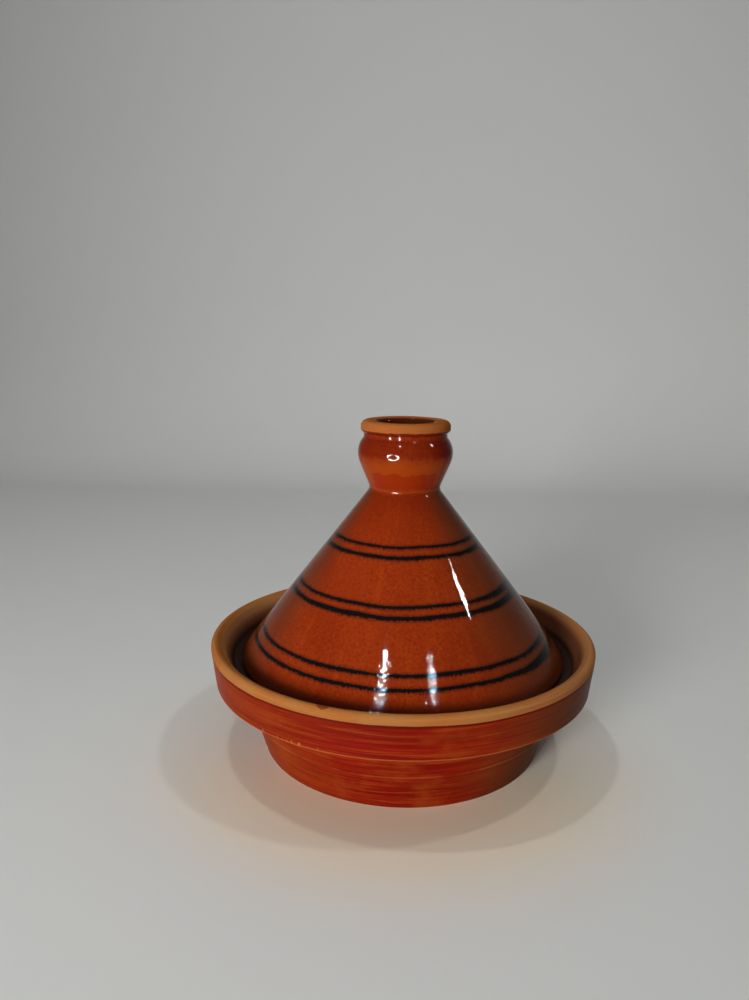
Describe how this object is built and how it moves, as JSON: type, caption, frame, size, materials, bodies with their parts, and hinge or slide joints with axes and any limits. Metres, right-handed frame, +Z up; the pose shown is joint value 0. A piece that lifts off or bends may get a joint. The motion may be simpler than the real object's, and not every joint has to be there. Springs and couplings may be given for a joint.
{
  "type": "tagine pot",
  "caption": "Glazed earthenware cooking dish with an overhanging collar, and a conical lid that lifts off the ledge inside it by a hollow knob; painted dark bands ring the lid.",
  "frame": {"origin": "middle of the underside of the dish, on the surface that the pot stands on", "axes": "+Z up along the turning axis of dish and lid; the pot is round, so +X and +Y are any two level directions, with the picture taken from the -Y side"},
  "size_m": [0.28, 0.28, 0.2393],
  "materials": {
    "dish_glaze": "satin red-brown glaze with turning streaks, bare tan clay on the rim",
    "lid_glaze": "glossy amber glaze over painted black bands, bare tan clay on the lip of the knob"
  },
  "bodies": {
    "base": {"dish": "dish_glaze"},
    "lid": {"lid_cone": "lid_glaze", "lid_knob": "lid_glaze"}
  },
  "joints": [
    {"name": "lid_lift", "type": "slide", "parent": "base", "child": "lid", "axis": [0, 0, 1], "range_m": [0, 0.15]}
  ]
}
